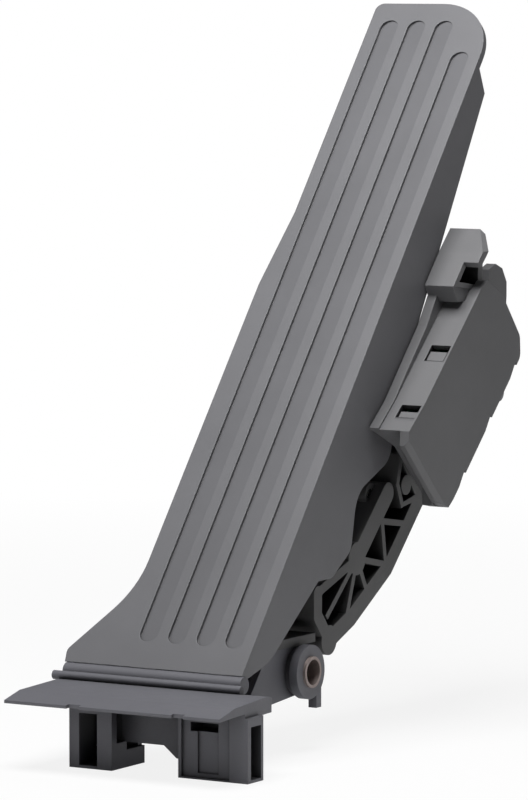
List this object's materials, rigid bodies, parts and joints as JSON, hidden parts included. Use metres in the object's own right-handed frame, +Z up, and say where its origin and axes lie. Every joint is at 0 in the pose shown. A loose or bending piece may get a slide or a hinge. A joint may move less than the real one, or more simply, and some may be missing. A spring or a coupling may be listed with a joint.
{
  "type": "accelerator pedal",
  "caption": "Black floor-hinged accelerator pedal with a long grooved treadle, a ribbed truss carrier behind it and a boxed electronic position sensor at its side.",
  "frame": {"origin": "On the centre line of the floor pin's bore in the barrel behind the foot bracket, halfway between the treadle's two skirts.", "axes": "+X runs along the floor pin's bore to the driver's right, +Y points forward away from the driver, +Z points up from the floor."},
  "size_m": [0.0876, 0.2104, 0.2446],
  "materials": {
    "treadle_plastic": "fine matte moulded black-grey plastic",
    "bracket_plastic": "matte moulded plastic with a bluish cast",
    "carrier_plastic": "glass-filled black plastic, matte",
    "housing_plastic": "glass-filled black plastic, matte",
    "bush_plastic": "natural low-friction plastic",
    "rubber": "soft black rubber",
    "steel": "ground steel",
    "screw_steel": "zinc-plated steel",
    "spring_steel": "oiled spring steel",
    "magnet": "sintered dark grey magnet",
    "board": "green coated glass-fibre board",
    "chip": "moulded black resin",
    "terminal": "tin-flashed brass"
  },
  "bodies": {
    "base": {"foot_bracket": "bracket_plastic", "mounting_sleeve": "steel", "carrier_frame": "carrier_plastic", "carrier_screws": "screw_steel", "sensor_housing": "housing_plastic", "housing_cover": "housing_plastic", "housing_screws": "screw_steel", "circuit_board": "board", "hall_chips": "chip", "socket_terminals": "terminal", "shaft_seal": "rubber", "bearing_bush_left": "bush_plastic", "bearing_bush_right": "bush_plastic", "stop_pin": "steel", "idle_stop_pad": "rubber", "return_spring_left": "spring_steel", "return_spring_right": "spring_steel"},
    "pedal": {"pedal_plate": "treadle_plastic"},
    "lever": {"actuating_lever": "carrier_plastic", "pivot_shaft": "steel", "guide_pin": "steel", "magnet_holder": "bush_plastic", "ring_magnet": "magnet"}
  },
  "joints": [
    {"name": "pedal_hinge", "type": "hinge", "parent": "base", "child": "pedal", "pos_m": [0, -0.0438, 0.001], "axis": [-1, 0, 0], "range_deg": [0, 11], "stiffness_Nm_per_rad": 18, "springref_deg": -6.88},
    {"name": "lever_pivot", "type": "hinge", "parent": "base", "child": "lever", "pos_m": [0, 0.104, 0.0895], "axis": [1, 0, 0], "range_deg": [0, 11.5], "stiffness_Nm_per_rad": 2, "springref_deg": -6.88, "deforming": ["return_spring_left", "return_spring_right"]}
  ],
  "couplings": [
    {"joint": "lever_pivot", "follows": "pedal_hinge", "ratio": 1.04}
  ]
}
